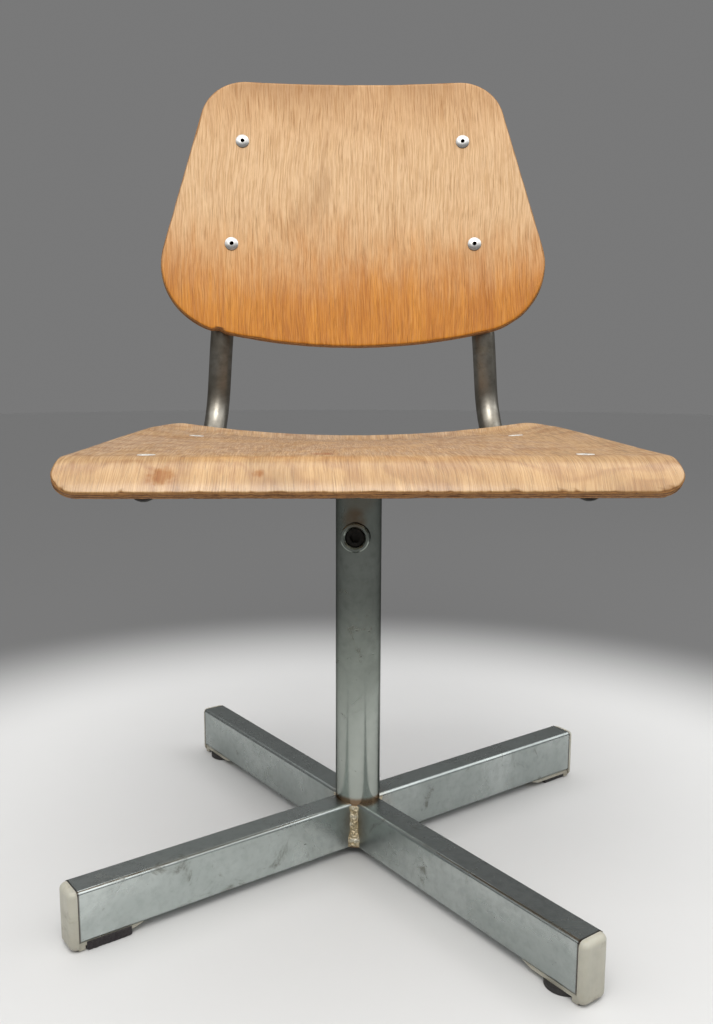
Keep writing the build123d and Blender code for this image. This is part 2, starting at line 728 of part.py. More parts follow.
export_step(back_panel.part, "parts/back_panel.step")

# ---- rivets ----------------------------------------------------------------------------------
def turned_rivet(face, dome, tail_depth):
    """Hollow rivet on a plane of the wood: domed or flush head, shank, tail formed in the tube."""
    rim = rivet_rim if dome else 0.0
    base = rivet_head_gap if dome else -flush_head_height
    crown = rivet_head_height if dome else 0.0
    tail_far = -tail_depth - rivet_tail_height
    side_view = Plane(origin=face.origin, x_dir=face.x_dir, z_dir=face.x_dir.cross(face.z_dir))
    with BuildPart() as rivet:
        with BuildSketch(side_view):
            with BuildLine():
                Polyline(
                    (rivet_bore_radius, crown),
                    (rivet_bore_radius, -rivet_bore_depth),
                    (0, -rivet_bore_depth),
                    (0, tail_far),
                    (rivet_tail_radius - rivet_tail_chamfer, tail_far),
                    (rivet_tail_radius, tail_far + rivet_tail_chamfer),
                    (rivet_tail_radius, -tail_depth),
                    (rivet_shank_radius, -tail_depth),
                    (rivet_shank_radius, base),
                    (rivet_head_radius, base),
                    (rivet_head_radius, rim),
                )
                if dome:
                    ThreePointArc((rivet_head_radius, rim), dome_shoulder, (rivet_bore_radius, crown))
                else:
                    Line((rivet_head_radius, rim), (rivet_bore_radius, crown))
            make_face()
        revolve(axis=Axis(face.origin, face.z_dir))
    return rivet.part


back_spots = [back_face(*spot) for spot in (lower_rivet, upper_rivet)]
seat_spots = [seat_face(y) for y in (front_rivet_y, rear_rivet_y)]
domed_rivets = [turned_rivet(face, True, rivet_tail_depth) for face in back_spots]
domed_rivets += [turned_rivet(mirror_plane(face), True, rivet_tail_depth) for face in back_spots]
flush_rivets = [turned_rivet(face, False, seat_tail_depth) for face in seat_spots]
flush_rivets += [turned_rivet(mirror_plane(face), False, seat_tail_depth) for face in seat_spots]

with BuildPart() as back_rivets:
    add(domed_rivets)
back_rivets.part.label = "back_rivets"
export_step(back_rivets.part, "parts/back_rivets.step")

with BuildPart() as seat_rivets:
    add(flush_rivets)
seat_rivets.part.label = "seat_rivets"
export_step(seat_rivets.part, "parts/seat_rivets.step")
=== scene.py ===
from math import atan, atan2, ceil, cos, hypot, pi, radians, sin, sqrt, tau
from random import Random

import bmesh
import bpy
from mathutils import Euler, Matrix, Vector, noise


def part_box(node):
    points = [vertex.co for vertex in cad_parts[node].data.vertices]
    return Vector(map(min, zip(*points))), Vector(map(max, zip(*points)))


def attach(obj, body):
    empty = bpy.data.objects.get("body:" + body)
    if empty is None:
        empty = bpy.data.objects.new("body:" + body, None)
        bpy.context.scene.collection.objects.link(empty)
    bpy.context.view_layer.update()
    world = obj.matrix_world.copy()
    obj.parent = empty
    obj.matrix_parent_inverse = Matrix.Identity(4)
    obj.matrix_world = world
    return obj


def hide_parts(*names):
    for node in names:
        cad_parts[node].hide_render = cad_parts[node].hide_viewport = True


# Low swivel chair: plywood seat and back on bent steel tubes, a column and a cross-shaped base.
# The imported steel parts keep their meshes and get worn-metal materials. The plywood, the weld
# beads and the felt pad are rebuilt here in more detail. Metres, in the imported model's frame.

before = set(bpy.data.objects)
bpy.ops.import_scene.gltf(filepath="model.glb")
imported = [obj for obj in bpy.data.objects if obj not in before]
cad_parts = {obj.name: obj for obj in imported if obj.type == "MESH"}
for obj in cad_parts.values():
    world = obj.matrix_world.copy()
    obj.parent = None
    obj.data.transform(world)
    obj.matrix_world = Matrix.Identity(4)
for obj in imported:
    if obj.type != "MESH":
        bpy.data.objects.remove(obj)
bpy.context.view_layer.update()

MM = 0.001

# ---- shared dimensions, in millimetres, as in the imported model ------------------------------
PLY = 9.0
FRONT_RIVET_Y = -132.0
REAR_RIVET_Y = 62.0
RIVET_LINE_X = 150.4
TUBE_SPLAY = 0.0532
RECESS_RADIUS = 6.9
RECESS_DEPTH = 1.3
SEAT_FRONT_Z = 356.65
SEAT_FALL = 0.0227
ROLL_START_Y = -140.6
ROLL_RADIUS = 46.8
ROLL_END = radians(55.3)
SEAT_REAR_Y = 128.0
SEAT_FRONT_HALF = 207.4
SEAT_REAR_HALF = 183.1
SEAT_SIDE_BULGE = 6.3
SEAT_FRONT_CORNER = 18.0
SEAT_REAR_CORNER = 28.8
DISH_DEPTH = 8.7
DISH_HALF_WIDTH = 138.0
KICK_START_Y = 107.5
KICK_RADIUS = 40.0

BACK_LEAN = radians(14.0)
BACK_MIDDLE = Vector((0.0, 177.5, 526.0))
BACK_RADIUS = 990.0
BACK_TOP = 161.0
BACK_BOTTOM = -99.5
BACK_BOTTOM_RADIUS = 640.0
BACK_TOP_HALF = 136.8
BACK_BOTTOM_HALF = 195.6
BACK_BOTTOM_CORNER = 65.0
BACK_TOP_CORNER = 45.0
BACK_RIVETS = [(116.3, -1.4), (106.4, 100.5)]    # to the side of the middle, and above it
HOLE_RADIUS = 3.3
RIM_RADIUS = 2.0

BASE_TURN = -55.35
ARM_ANGLES = [BASE_TURN + 90.0 * k for k in range(4)]
ARM_WIDTH = 24.0
ARM_REACH = 257.0

ARMS = ("front_right", "rear_right", "rear_left", "front_left")
ARM_PAINTED_LIGHT = (0.86, 0.92, 0.9, 1.14)    # painted light: how much brighter or darker each arm is drawn, for the light on it
ARM_LIGHT, ARM_DARK = (0.56, 0.6, 0.585), (0.4, 0.44, 0.425)

# ---- how finely the rebuilt meshes are drawn -------------------------------------------------
ARC_STEP = 1.5          # millimetres between the points of an arc
SMOOTH_ANGLE = 40.0     # degrees; edges sharper than this are drawn sharp
RIM_SAMPLES = 560       # points round a plywood sheet
SHEET_RINGS = 48        # rings from a sheet's middle to its rim

# ---- colours of dirt and damage, and of painted shade and reflection -------------------------
GRIME = (0.13, 0.12, 0.09)
HEAT_TINT = (0.2, 0.135, 0.08)
FLOOR_REFLECTION_TINT = (0.6, 0.64, 0.6)
RUST = (0.2, 0.11, 0.05)
END_GAP_SHADE = (0.06, 0.04, 0.03)
PIT_DARK = (0.05, 0.045, 0.035)
NICK_DARK = (0.07, 0.065, 0.05)
BORE_SHADE = (0.008, 0.007, 0.006)
RED_STAIN = (0.26, 0.075, 0.012)

# ---- colours of the plywood's rim, and what fibres and growth rings multiply the veneer by ----
PLIES = 7.0
LONG_PLY, CROSS_PLY = (0.5, 0.24, 0.08), (0.2, 0.085, 0.028)
END_GRAIN_DIRT = (0.09, 0.036, 0.012)
GLUE_LINE = (0.04, 0.016, 0.008)
FIBRE_SHADE = (0.72, 0.62, 0.5)
RING_SHADE = (0.66, 0.52, 0.4)

# ---- studio, in metres and degrees -----------------------------------------------------------
LENS = 34.9                             # millimetres on a sensor of 36
SHIFT = (0.022, -0.0015)
EYE = (-0.0308, -0.8082, 0.4298)
EYE_DIP, EYE_TURN = 9.4, -0.73
BACKDROP = 0.19
FLOOR_RADIUS = 6.0
FLOOR_LIGHT_FALLOFF = (0.44, 0.78)               # painted falloff of light: where the floor stops being pale, and where it is grey


# ---- shader helpers --------------------------------------------------------------------------
def scaled(color, level):
    return tuple(level * c for c in color)


class Nodes:
    """Short calls for the nodes of one tree. place is the coordinate they work from."""

    def __init__(self, tree, coordinate):
        self.tree = tree
        self.place = self.node("ShaderNodeTexCoord").outputs[coordinate]

    def node(self, kind, **settings):
        made = self.tree.nodes.new(kind)
        for key, value in settings.items():
            setattr(made, key, value)
        return made

    def feed(self, socket, value):
        if isinstance(value, bpy.types.NodeSocket):
            self.tree.links.new(value, socket)
        elif hasattr(value, "__len__") and len(value) == 3 and socket.type == "RGBA":
            socket.default_value = (*value, 1)
        else:
            socket.default_value = value

    def stretched(self, scale, place=None):
        mapping = self.node("ShaderNodeMapping")
        self.feed(mapping.inputs["Vector"], place or self.place)
        mapping.inputs["Scale"].default_value = scale
        return mapping.outputs["Vector"]

    def noise(self, scale, detail=4.0, roughness=0.55, distortion=0.0, place=None):
        texture = self.node("ShaderNodeTexNoise")
        self.feed(texture.inputs["Vector"], place or self.place)
        texture.inputs["Scale"].default_value = scale
        texture.inputs["Detail"].default_value = detail
        texture.inputs["Roughness"].default_value = roughness
        texture.inputs["Distortion"].default_value = distortion
        return texture.outputs["Fac"]

    def cells(self, scale, place=None):
        texture = self.node("ShaderNodeTexVoronoi")
        self.feed(texture.inputs["Vector"], place or self.place)
        texture.inputs["Scale"].default_value = scale
        return texture.outputs["Distance"]

    def axis(self, name):
        split = self.node("ShaderNodeSeparateXYZ")
        self.feed(split.inputs["Vector"], self.place)
        return split.outputs[name]

    def attribute(self, name):
        return self.node("ShaderNodeAttribute", attribute_name=name).outputs["Fac"]

    def span(self, value, low, high, out_low=0.0, out_high=1.0):
        ranged = self.node("ShaderNodeMapRange", interpolation_type="SMOOTHSTEP")
        for socket, number in zip(ranged.inputs, (value, low, high, out_low, out_high)):
            self.feed(socket, number)
        return ranged.outputs["Result"]

    def math(self, operation, a, b=0.5):
        sums = self.node("ShaderNodeMath", operation=operation)
        self.feed(sums.inputs[0], a)
        self.feed(sums.inputs[1], b)
        return sums.outputs["Value"]

    def vectors(self, operation, a, b=(0, 0, 0)):
        """A vector-math node; its output is Value if the operation measures, and else Vector."""
        sums = self.node("ShaderNodeVectorMath", operation=operation)
        self.feed(sums.inputs[0], a)
        self.feed(sums.inputs[1], b)
        return sums

    def distance(self, point):
        return self.vectors("DISTANCE", self.place, point).outputs["Value"]

    def mix(self, factor, a, b, blend="MIX"):
        mixer = self.node("ShaderNodeMix", data_type="RGBA", blend_type=blend)
        colors = [s for s in mixer.inputs if s.type == "RGBA"]
        self.feed(mixer.inputs["Factor"], factor)
        self.feed(colors[0], a)
        self.feed(colors[1], b)
        return [s for s in mixer.outputs if s.type == "RGBA"][0]

    def ramp(self, factor, *stops):
        colors = self.node("ShaderNodeValToRGB")
        self.feed(colors.inputs["Fac"], factor)
        elements = colors.color_ramp.elements
        while len(elements) < len(stops):
            elements.new(0.5)
        for element, (place, color) in zip(elements, stops):
            element.position = place
            element.color = (*color, 1)
        return colors.outputs["Color"]

    def bump(self, height, distance, strength, under=None):
        bumped = self.node("ShaderNodeBump")
        self.feed(bumped.inputs["Height"], height)
        bumped.inputs["Distance"].default_value = distance
        bumped.inputs["Strength"].default_value = strength
        if under:
            self.feed(bumped.inputs["Normal"], under)
        return bumped.outputs["Normal"]


class Shader(Nodes):
    """A node material with one Principled surface, and constants for some of its sockets."""

    def __init__(self, name, **constants):
        self.material = bpy.data.materials.new(name)
        self.material.use_nodes = True
        super().__init__(self.material.node_tree, "Object")
        self.surface = self.tree.nodes["Principled BSDF"]
        for socket, value in constants.items():
            self.surface.inputs[socket.replace("_", " ")].default_value = value

    def set(self, **sockets):
        for name, value in sockets.items():
            self.feed(self.surface.inputs[name.replace("_", " ")], value)
        return self.material


# ---- materials: metals -----------------------------------------------------------------------
def plated_steel(name, light, dark, roughness, blotch=9.0, edge=0.7, marks=(), foot=None,
                 end_reach=None):
    """Dull zinc plating: cloudy patches, fine speckle, small pits, nicks, grime and heat tint.

    edge is how bright it stays where seen aslant; marks are heat marks, each a middle, a size
    and a strength; foot is the height of a rusty line, above which the plating is drawn brighter
    as a painted reflection of the pale floor; end_reach is how far from the column's axis the
    tube ends, where a dark band is painted as the shade of the gap at the end cap.
    """
    s = Shader(name, Metallic=1.0, Specular_Tint=(edge, edge, edge, 1))
    clouds = s.noise(blotch, 5.0, 0.6, 0.6)
    fine = s.noise(160.0, 3.0, 0.6)
    color = s.mix(s.span(clouds, 0.35, 0.68), dark, light)
    color = s.mix(s.span(fine, 0.4, 0.75, 0.0, 0.35), color, scaled(dark, 0.72))
    grime = s.span(s.noise(26.0, 6.0, 0.7, 1.2), 0.57, 0.72)
    color = s.mix(s.math("MULTIPLY", grime, 0.6), color, GRIME)
    for middle, size, strength in marks:
        heat = s.span(s.distance(middle), 0.45 * size, size, strength, 0.0)
        heat = s.math("MULTIPLY", heat, s.span(s.noise(60.0, 4.0), 0.3, 0.6, 0.35, 1.0))
        color = s.mix(heat, color, HEAT_TINT)
    if foot:
        above = s.math("ADD", s.axis("Z"), s.math("MULTIPLY", s.noise(140.0, 3.0), -0.004))
        # Painted reflection: the column is drawn brighter near its foot, fading out by 0.2 m, for
        # the pale floor it reflects.
        color = s.mix(s.span(s.axis("Z"), 0.07, 0.2, 0.42, 0.0), color, FLOOR_REFLECTION_TINT)
        color = s.mix(s.span(above, foot - 0.0015, foot + 0.0025, 0.85, 0.0), color, RUST)
    if end_reach:
        # Painted shade: a dark band just short of the tube's end, for the gap where the end cap
        # meets the arm.
        flat = s.vectors("MULTIPLY", s.place, (1, 1, 0)).outputs["Vector"]
        reach = s.vectors("LENGTH", flat).outputs["Value"]
        dirt = s.span(reach, end_reach - 0.0016, end_reach - 0.0004, 0.0, 0.85)
        color = s.mix(dirt, color, END_GAP_SHADE)
    pits = s.span(s.cells(230.0), 0.0, 0.1, 1.0, 0.0)
    pits = s.math("MULTIPLY", pits, s.span(s.noise(31.0, 2.0), 0.53, 0.6))
    color = s.mix(s.math("MULTIPLY", pits, 0.85), color, PIT_DARK)
    nicks = s.span(s.cells(42.0, s.stretched((1.0, 1.0, 2.2))), 0.0, 0.07, 1.0, 0.0)
    nicks = s.math("MULTIPLY", nicks, s.span(s.noise(17.0, 2.0), 0.5, 0.56))
    color = s.mix(s.math("MULTIPLY", nicks, 0.75), color, NICK_DARK)
    rough = s.span(clouds, 0.3, 0.7, roughness + 0.1, roughness - 0.05)
    rough = s.math("ADD", rough, s.math("MULTIPLY", s.math("ADD", pits, grime), 0.2))
    height = s.math("SUBTRACT", s.math("MULTIPLY", fine, 0.08), s.math("MAXIMUM", pits, nicks))
    waves = s.bump(s.noise(22.0, 2.0, 0.4), 0.0012, 0.12)
    return s.set(Base_Color=color, Roughness=rough, Normal=s.bump(height, 0.0003, 0.7, waves))


def bright_metal(name, color, roughness, bore_shade=None):
    """Clean metal of a small fitting: faint turning marks, handling wear, and painted shade in a
    bore.

    Its last argument, given the shader, gives 1 inside the bores, where the shade is painted, and
    0 elsewhere.
    """
    s = Shader(name, Metallic=1.0)
    smears = s.noise(180.0, 4.0, 0.6)
    tone = s.mix(s.span(smears, 0.3, 0.7), scaled(color, 0.6), color)
    rough = s.span(smears, 0.25, 0.75, roughness + 0.14, roughness)
    if bore_shade:
        dark = bore_shade(s)
        # Painted shade: the metal is drawn nearly black inside the bores.
        tone = s.mix(dark, tone, BORE_SHADE)
        rough = s.math("MAXIMUM", rough, s.math("MULTIPLY", dark, 0.9))
    return s.set(Base_Color=tone, Roughness=rough, Normal=s.bump(s.noise(900.0), 0.00005, 0.5))


def behind_back_face(s):
    """1 on the walls and rims of the rivets' bores, and on all that is behind the back's face:
    where the rivets are painted in shade.
    """
    x = s.math("DIVIDE", s.axis("X"), MM)
    bow = s.math("MULTIPLY", s.math("MULTIPLY", x, x), MM / (2 * BACK_RADIUS))
    y = s.math("MULTIPLY", s.math("SUBTRACT", s.axis("Y"), BACK_MIDDLE.y * MM), -cos(BACK_LEAN))
    z = s.math("MULTIPLY", s.math("SUBTRACT", s.axis("Z"), BACK_MIDDLE.z * MM), sin(BACK_LEAN))
    depth = s.math("SUBTRACT", s.math("ADD", y, z), bow)
    deep = s.span(depth, -0.0004, 0.0004, 1.0, 0.0)
    normal = s.node("ShaderNodeTexCoord").outputs["Normal"]
    facing = s.vectors("DOT_PRODUCT", normal, (0, -cos(BACK_LEAN), sin(BACK_LEAN)))
    wall = s.span(s.math("ABSOLUTE", facing.outputs["Value"]), 0.35, 0.6, 1.0, 0.0)
    return s.math("MAXIMUM", deep, wall)


def weld_metal():
    """Bead of solidified steel: golden and brown oxide in patches over pale grey, with spatter."""
    s = Shader("weld_bead", Metallic=1.0)
    patches = s.noise(95.0, 5.0, 0.65, 0.8)
    color = s.ramp(
        patches, (0.26, (0.16, 0.12, 0.07)), (0.4, (0.56, 0.47, 0.31)), (0.6, (0.78, 0.74, 0.62))
    )
    spatter = s.noise(520.0, 3.0, 0.7)
    rough = s.span(patches, 0.3, 0.7, 0.62, 0.36)
    return s.set(Base_Color=color, Roughness=rough, Normal=s.bump(spatter, 0.0005, 0.6))


# ---- materials: plastic, rubber, felt ---------------------------------------------------------
def moulded_plastic(name, color, dirt, roughness, glow=0.0):
    """Aged moulded plastic: darker clouds, dirt in patches, a fine moulded grain, scuffs.

    glow is how much light passes under its surface.
    """
    s = Shader(name, Subsurface_Weight=glow, Subsurface_Radius=(0.004, 0.003, 0.002))
    clouds = s.noise(38.0, 5.0, 0.6)
    tone = s.mix(s.span(clouds, 0.35, 0.7), color, scaled(color, 0.84))
    soil = s.span(s.noise(70.0, 6.0, 0.7, 0.7), 0.54, 0.72)
    # soil holds the dirt patches and a darkening within 2 cm of the floor.
    near_floor = s.span(s.axis("Z"), 0.0, 0.02, 0.55, 0.0)
    soil = s.math("MULTIPLY", s.math("ADD", soil, near_floor), 0.5)
    tone = s.mix(soil, tone, dirt)
    scuffs = s.noise(8.0, 3.0, place=s.stretched((70.0, 70.0, 6.0)))
    rough = s.span(scuffs, 0.35, 0.7, roughness, roughness + 0.18)
    height = s.math("ADD", s.math("MULTIPLY", s.noise(1400.0, 2.0), 0.3), scuffs)
    return s.set(Base_Color=tone, Roughness=rough, Normal=s.bump(height, 0.0002, 0.35))


def felt_fabric():
    """Dark matted felt: tangled fibres in two scales, dusty tips, soft sheen."""
    s = Shader("felt_fibres", Sheen_Weight=0.12, Sheen_Roughness=0.6, Roughness=0.95)
    tangle = s.noise(900.0, 6.0, 0.75, 1.5)
    clumps = s.noise(160.0, 4.0, 0.6)
    color = s.ramp(
        tangle, (0.3, (0.004, 0.003, 0.0035)), (0.55, (0.016, 0.01, 0.012)),
        (0.8, (0.06, 0.043, 0.042)),
    )
    color = s.mix(s.span(clumps, 0.5, 0.75, 0.0, 0.3), color, (0.045, 0.033, 0.03))
    height = s.math("ADD", tangle, clumps)
    return s.set(Base_Color=color, Normal=s.bump(height, 0.0012, 0.9))


# ---- materials: plywood ------------------------------------------------------------------------
def plywood(name, light, deep, flake, wear, wear_field, sheen, figure, stains=()):
    """Lacquered veneer, its grain running along the sheet at right angles to X, and a layered rim.

    light and deep are the lacquered veneer's bands, flake its pale flecks and wear its rubbed
    colour. wear_field(shader) gives 0 to 1 for how far the lacquer has gone; sheen is the
    lacquer's weight where it is whole; figure is how clearly the growth rings show; stains are
    reddish marks, each a middle and a size in metres.
    """
    s = Shader(name, Specular_IOR_Level=0.3, Coat_Roughness=0.24)
    drift = s.node("ShaderNodeCombineXYZ")
    s.feed(drift.inputs["X"], s.math("MULTIPLY", s.noise(9.0, 3.0, 0.5), 0.014))
    grain = s.vectors("ADD", s.place, drift.outputs["Vector"]).outputs["Vector"]
    along_fibres = s.stretched((1.0, 0.03, 0.03), grain)
    darker = scaled(deep, 0.45)

    fibres = s.noise(1150.0, 4.0, 0.7, place=along_fibres)
    flecks = s.noise(850.0, 3.0, 0.65, place=s.stretched((1.0, 0.045, 0.045), grain))
    bands = s.noise(70.0, 4.0, 0.6, 0.4, place=s.stretched((1.0, 0.06, 0.06), grain))
    broad = s.noise(11.0, 4.0, 0.55, 0.7, place=s.stretched((1.0, 0.5, 0.5)))
    pores = s.span(s.noise(1400.0, 2.0, 0.5, place=along_fibres), 0.58, 0.7)

    worn = wear_field(s)
    color = s.mix(s.span(bands, 0.3, 0.7), deep, light)
    color = s.mix(worn, color, wear)
    pale = s.math("MULTIPLY", s.span(flecks, 0.46, 0.68), s.span(worn, 0.0, 1.0, 0.1, 0.4))
    color = s.mix(pale, color, flake)
    shade = s.math("MULTIPLY", s.span(fibres, 0.4, 0.58, 1.0, 0.0), 0.75)
    color = s.mix(shade, color, s.mix(1.0, color, FIBRE_SHADE, "MULTIPLY"))
    color = s.mix(s.math("MULTIPLY", pores, 0.42), color, darker)

    # Growth rings show as wavy arches across the grain.
    growth = s.noise(6.0, 4.0, 0.55, 1.0, place=s.stretched((1.0, 0.6, 0.6)))
    growth = s.math("MULTIPLY", growth, 11.0)
    ring = s.math("FRACT", s.math("ADD", growth, s.math("MULTIPLY", s.axis("Y"), 24.0)))
    ring = s.span(s.math("ABSOLUTE", s.math("SUBTRACT", ring, 0.5)), 0.22, 0.5, 0.0, figure)
    color = s.mix(ring, color, s.mix(1.0, color, RING_SHADE, "MULTIPLY"))
    # Hands have darkened the back's top edge.
    handled = s.span(s.axis("Z"), 0.63, 0.69, 0.0, 0.45)
    handled = s.math("MULTIPLY", handled, s.span(broad, 0.3, 0.6))
    soil = s.math("MAXIMUM", handled, s.span(broad, 0.54, 0.7, 0.0, 0.3))
    color = s.mix(soil, color, darker)
    spots = s.span(s.cells(21.0), 0.0, 0.075, 0.75, 0.0)
    spots = s.math("MULTIPLY", spots, s.span(s.noise(13.0, 1.0), 0.56, 0.6))
    color = s.mix(spots, color, scaled(deep, 0.3))
    bare = worn
    for middle, size in stains:
        ragged_edge = s.math("MULTIPLY", s.noise(210.0, 3.0, 0.6), 0.9 * size)
        away = s.math("ADD", s.distance(middle), s.math("SUBTRACT", ragged_edge, 0.45 * size))
        mark = s.span(away, 0.15 * size, size, 1.0, 0.0)
        mark = s.math("MULTIPLY", mark, s.span(bands, 0.35, 0.62, 1.0, 0.35))
        color = s.mix(s.math("MULTIPLY", mark, 0.9), color, RED_STAIN)
        bare = s.math("MAXIMUM", bare, mark)

    # The rim shows end grain in every other ply, and a dark line of glue between two plies.
    rim = s.attribute("rim")
    layer = s.math("MULTIPLY", s.attribute("ply_depth"), PLIES)
    phase = s.math("FRACT", s.math("MULTIPLY", layer, 0.5))
    cross = s.span(s.math("ABSOLUTE", s.math("SUBTRACT", phase, 0.5)), 0.22, 0.28)
    streaks = s.noise(240.0, 4.0, 0.7, place=s.stretched((1.0, 1.0, 3.5)))
    end_grain = s.mix(cross, LONG_PLY, CROSS_PLY)
    end_grain = s.mix(s.span(streaks, 0.42, 0.74, 0.0, 0.6), end_grain, END_GRAIN_DIRT)
    glue = s.math("FRACT", layer)
    glue = s.span(s.math("ABSOLUTE", s.math("SUBTRACT", glue, 0.5)), 0.43, 0.49)
    end_grain = s.mix(s.math("MULTIPLY", glue, 0.6), end_grain, GLUE_LINE)
    color = s.mix(rim, color, end_grain)

    rough = s.span(fibres, 0.3, 0.7, 0.5, 0.36)
    rough = s.math("ADD", rough, s.math("MULTIPLY", worn, 0.16))
    rough = s.math("ADD", rough, s.math("MULTIPLY", rim, 0.35))
    height = s.math("SUBTRACT", s.math("MULTIPLY", fibres, 0.7), pores)
    height = s.math("SUBTRACT", height, s.math("MULTIPLY", s.math("MULTIPLY", glue, rim), 1.5))
    s.set(Coat_Weight=s.span(s.math("ADD", bare, rim), 0.1, 0.6, sheen, 0.1 * sheen))
    return s.set(Base_Color=color, Roughness=rough, Normal=s.bump(height, 0.00028, 0.5))


def streaked(s, broad_scale, fine_scale):
    """Noise with fibres in it, so a worn patch frays along the grain."""
    fine = s.noise(fine_scale, 3.0, 0.6, place=s.stretched((1.0, 0.08, 0.08)))
    broad = s.noise(broad_scale, 5.0, 0.6, 0.8)
    return s.math("ADD", s.math("MULTIPLY", fine, 0.35), s.math("MULTIPLY", broad, 0.65))


def seat_wear_and_shade(s):
    """The top is rubbed dull and grey; the front roll keeps more of its golden lacquer. The
    grey of the rubbed top is partly real wear and partly painted shade of the flat top.
    """
    rub = s.span(streaked(s, 9.0, 320.0), 0.36, 0.56, 0.25, 1.0)
    return s.math("MULTIPLY", rub, s.span(s.axis("Y"), -0.168, -0.128, 0.12, 1.0))


def back_wear(s):
    """The lacquer is orange at the bottom and rubbed pale above, with a ragged border."""
    height = s.math("ADD", s.axis("Z"), s.math("MULTIPLY", streaked(s, 8.0, 260.0), 0.16))
    fade = s.span(s.axis("Z"), 0.6, 0.68, 1.0, 0.75)
    return s.math("MULTIPLY", s.span(height, 0.545, 0.66), fade)


# ---- mesh helpers ------------------------------------------------------------------------------
def in_scene(name, data):
    """New object for a mesh, a light or a camera."""
    made = bpy.data.objects.new(name, data)
    bpy.context.scene.collection.objects.link(made)
    return made


def mesh_object(name, vertices, faces, material, smooth_angle=SMOOTH_ANGLE):
    mesh = bpy.data.meshes.new(name)
    mesh.from_pydata([tuple(v) for v in vertices], [], faces)
    mesh.validate()
    mesh.update()
    mesh.polygons.foreach_set("use_smooth", [True] * len(mesh.polygons))
    mesh.set_sharp_from_angle(angle=radians(smooth_angle))
    mesh.materials.append(material)
    return in_scene(name, mesh)


def wrap(rows):
    """Quads between equally long rows of vertices, each row a closed loop."""
    faces = []
    count = len(rows[0])
    for upper, lower in zip(rows, rows[1:]):
        for k in range(count):
            nxt = (k + 1) % count
            faces.append((upper[k], lower[k], lower[nxt], upper[nxt]))
    return faces


def arc_points(centre, radius, start, turn):
    """Points at most ARC_STEP apart along an arc, both ends included."""
    steps = max(2, ceil(abs(turn) * radius / ARC_STEP))
    angles = [start + turn * k / steps for k in range(steps + 1)]
    return [Vector(centre) + radius * Vector((cos(a), sin(a))) for a in angles]


def rounded_corners(corners):
    """Dense closed path round a convex polygon, anticlockwise, with a radius at each corner."""
    path = []
    count = len(corners)
    for k, (x, y, radius) in enumerate(corners):
        here = Vector((x, y))
        before = (Vector(corners[k - 1][:2]) - here).normalized()
        after = (Vector(corners[(k + 1) % count][:2]) - here).normalized()
        half = before.angle(after) / 2
        centre = here + (before + after).normalized() * radius / sin(half)
        first = here + before * radius * cos(half) / sin(half) - centre
        path += arc_points(centre, radius, atan2(first.y, first.x), pi - 2 * half)
    return path


def even_loop(path, samples):
    """Evenly spaced points round a closed path, with the outward normal at each."""
    loop = path + path[:1]
    lengths = [0.0]
    for p, q in zip(loop, loop[1:]):
        lengths.append(lengths[-1] + (q - p).length)
    points = []
    k = 0
    for i in range(samples):
        want = lengths[-1] * i / samples
        while lengths[k + 1] < want:
            k += 1
        share = (want - lengths[k]) / max(lengths[k + 1] - lengths[k], 1e-9)
        points.append(loop[k].lerp(loop[k + 1], share))
    normals = []
    for i in range(samples):
        along = points[(i + 1) % samples] - points[i - 1]
        normals.append(Vector((along.y, -along.x)).normalized())
    return points, normals


def ply_shell(name, path, surface, material, chip):
    """Moulded plywood sheet with a rounded rim.

    surface(u, v) gives the top face's point and the step down through the sheet, per millimetre;
    chip(u, v, depth) is how far, in millimetres, the rim is worn back there.
    """
    outline, normals = even_loop(path, RIM_SAMPLES)
    centre = sum(outline, Vector((0, 0))) / RIM_SAMPLES
    quarter = [radians(15 * k) for k in range(7)]
    corner = [(RIM_RADIUS * (1 - sin(a)), RIM_RADIUS * (1 - cos(a))) for a in quarter]
    side = [(0.0, RIM_RADIUS + (PLY - 2 * RIM_RADIUS) * k / 8) for k in range(1, 8)]
    section = corner + side + [(inset, PLY - depth) for inset, depth in reversed(corner)]
    vertices, depths, rims, rows = [], [], [], []

    def add_point(spot, depth, rim):
        point, down = surface(spot.x, spot.y)
        vertices.append((point + down * depth) * MM)
        depths.append(depth / PLY)
        rims.append(rim)
        return len(vertices) - 1

    def flat_row(depth, share):
        spots = [centre.lerp(s - n * RIM_RADIUS, share) for s, n in zip(outline, normals)]
        return [add_point(spot, depth, 0.0) for spot in spots]

    def rim_row(inset, depth):
        row = []
        for spot, normal in zip(outline, normals):
            wear = chip(spot.x, spot.y, depth)
            # End grain starts a little below the face, and sooner where the rim is worn.
            reach = min(1.0, max(0.0, (min(depth, PLY - depth) - 0.25 + 0.5 * wear) / 0.55))
            row.append(add_point(spot - normal * (inset + wear), depth, reach))
        return row

    # The rings lie closer together towards the rim.
    shares = [(k / SHEET_RINGS) ** 0.8 for k in range(1, SHEET_RINGS)]
    rows += [flat_row(0.0, share) for share in shares]
    rows += [rim_row(inset, depth) for inset, depth in section]
    rows += [flat_row(PLY, share) for share in reversed(shares)]
    faces = wrap(rows)
    top, bottom = add_point(centre, 0.0, 0.0), add_point(centre, PLY, 0.0)
    for k in range(RIM_SAMPLES):
        nxt = (k + 1) % RIM_SAMPLES
        faces.append((top, rows[0][k], rows[0][nxt]))
        faces.append((bottom, rows[-1][nxt], rows[-1][k]))
    made = mesh_object(name, vertices, faces, material)
    for label, values in (("ply_depth", depths), ("rim", rims)):
        layer = made.data.attributes.new(label, "FLOAT", "POINT")
        layer.data.foreach_set("value", values)
    return made


